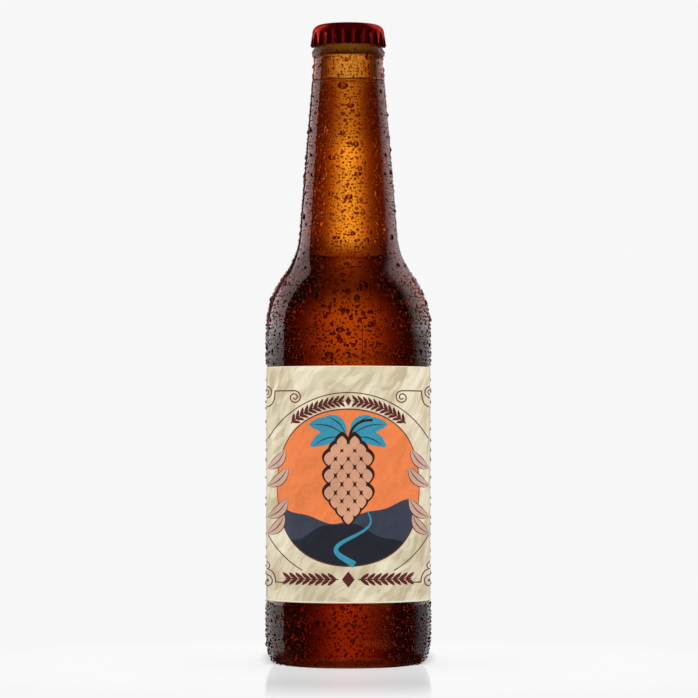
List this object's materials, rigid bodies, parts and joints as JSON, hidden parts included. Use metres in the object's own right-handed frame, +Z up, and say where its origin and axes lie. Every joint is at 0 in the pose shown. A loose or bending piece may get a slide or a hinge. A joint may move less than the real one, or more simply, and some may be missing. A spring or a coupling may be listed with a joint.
{
  "type": "beer bottle",
  "caption": "Shut long-neck bottle of brown glass full of amber beer, wet with condensation, with a crimped red crown cap and a paper front label that has an orange medallion",
  "frame": {"origin": "on the bottle's axis, in the plane of the flat ring that it stands on", "axes": "+Z up along the bottle's axis; -Y towards the front, the middle of the label's medallion; +X to the right seen from the front"},
  "size_m": [0.061, 0.061, 0.237],
  "materials": {
    "amber_glass": "clear brown bottle glass, smooth and glossy, misted with drops of condensation",
    "beer": "clear amber liquid",
    "label_paper": "cream paper, matt and lightly crumpled, printed in dark red line, orange, navy and teal",
    "red_lacquer": "glossy dark red lacquer on tinplate"
  },
  "bodies": {
    "root": {"bottle": "amber_glass", "beer": "beer", "label": "label_paper", "cap": "red_lacquer"}
  },
  "joints": []
}
